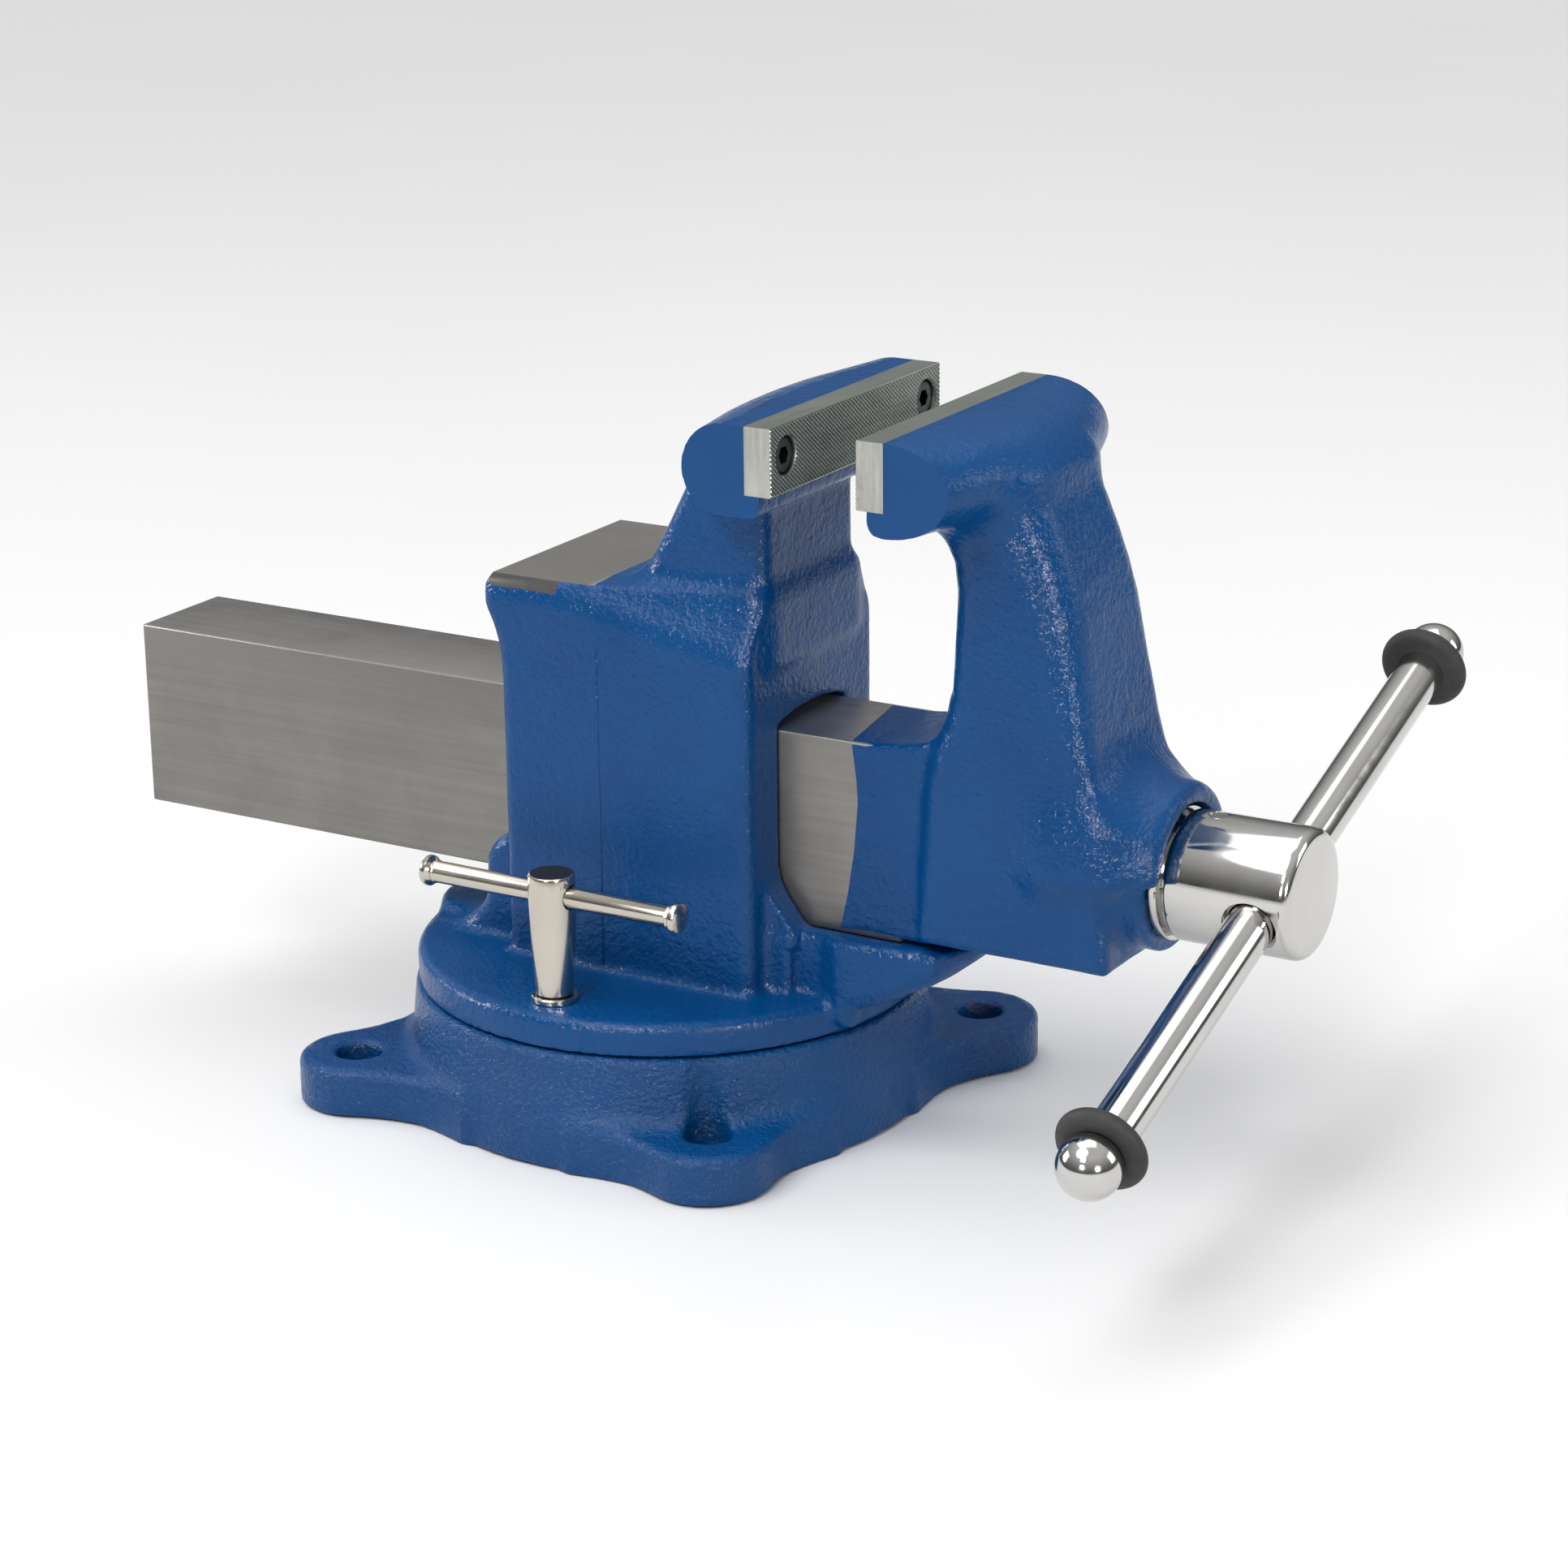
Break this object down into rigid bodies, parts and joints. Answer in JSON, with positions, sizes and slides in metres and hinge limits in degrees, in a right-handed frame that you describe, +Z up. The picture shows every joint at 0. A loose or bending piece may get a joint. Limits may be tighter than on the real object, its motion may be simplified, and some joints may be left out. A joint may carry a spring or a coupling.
{
  "type": "bench vise",
  "caption": "Swivel-base bench vise: cast body with anvil, sliding jaw on a square beam, main screw with a T-handle, and clamps that lock the swivel.",
  "frame": {"origin": "where the swivel axis meets the underside of the base", "axes": "+Z up along the swivel axis, +X along the main screw towards its handle, +Y to the left seen from behind the anvil"},
  "size_m": [0.515, 0.3188, 0.2872],
  "materials": {
    "blue_paint": "glossy blue enamel on cast iron",
    "zinc": "ground steel, cross-knurled faces",
    "black_steel": "black oxide",
    "bronze": "machined bronze",
    "steel": "turned steel",
    "chrome": "polished",
    "nickel": "satin nickel plate",
    "rubber": "matt black"
  },
  "bodies": {
    "base": {"swivel_base": "blue_paint"},
    "static": {"static_body": "blue_paint", "static_jaw_insert": "zinc", "static_jaw_screws": "black_steel", "main_nut": "bronze", "nut_bolt": "steel", "lock_bolt_near": "steel", "lock_bolt_far": "steel", "lock_washer_near": "steel", "lock_washer_far": "steel"},
    "moving": {"moving_jaw": "blue_paint", "moving_jaw_insert": "zinc", "moving_jaw_screws": "black_steel"},
    "spindle": {"main_screw": "steel", "spindle_head": "chrome", "head_pin": "steel", "thrust_ring": "steel", "rear_washer": "steel", "retaining_collar": "steel", "collar_pin": "steel"},
    "handle": {"handle_bar": "chrome", "handle_ball_lower": "chrome", "handle_ball_upper": "chrome", "handle_bumper_lower": "rubber", "handle_bumper_upper": "rubber"},
    "near_nut": {"lock_nut_near": "nickel"},
    "near_bar": {"lock_bar_near": "nickel"},
    "far_nut": {"lock_nut_far": "nickel"},
    "far_bar": {"lock_bar_far": "nickel"}
  },
  "joints": [
    {"name": "body_swivel", "type": "hinge", "parent": "base", "child": "static", "pos_m": [0, 0, 0.05], "axis": [0, 0, 1], "continuous": true},
    {"name": "jaw_slide", "type": "slide", "parent": "static", "child": "moving", "axis": [1, 0, 0], "range_m": [-0.0337, 0.116]},
    {"name": "spindle_spin", "type": "hinge", "parent": "moving", "child": "spindle", "pos_m": [0.2, 0, 0.1235], "axis": [1, 0, 0], "range_deg": [-2021, 6959]},
    {"name": "handle_slide", "type": "slide", "parent": "spindle", "child": "handle", "axis": [0, 0.9444, 0.3289], "range_m": [-0.117, 0.1205]},
    {"name": "lock_nut_near_turn", "type": "hinge", "parent": "static", "child": "near_nut", "pos_m": [0, -0.083, 0.09], "axis": [0, 0, 1], "range_deg": [-15, 15]},
    {"name": "lock_bar_near_slide", "type": "slide", "parent": "near_nut", "child": "near_bar", "axis": [1, 0, 0], "range_m": [-0.044, 0.044]},
    {"name": "lock_nut_far_turn", "type": "hinge", "parent": "static", "child": "far_nut", "pos_m": [0, 0.083, 0.09], "axis": [0, 0, 1], "range_deg": [-15, 15]},
    {"name": "lock_bar_far_slide", "type": "slide", "parent": "far_nut", "child": "far_bar", "axis": [1, 0, 0], "range_m": [-0.044, 0.044]}
  ],
  "couplings": [
    {"joint": "jaw_slide", "follows": "spindle_spin", "m_per_rad": 0.00095493}
  ]
}
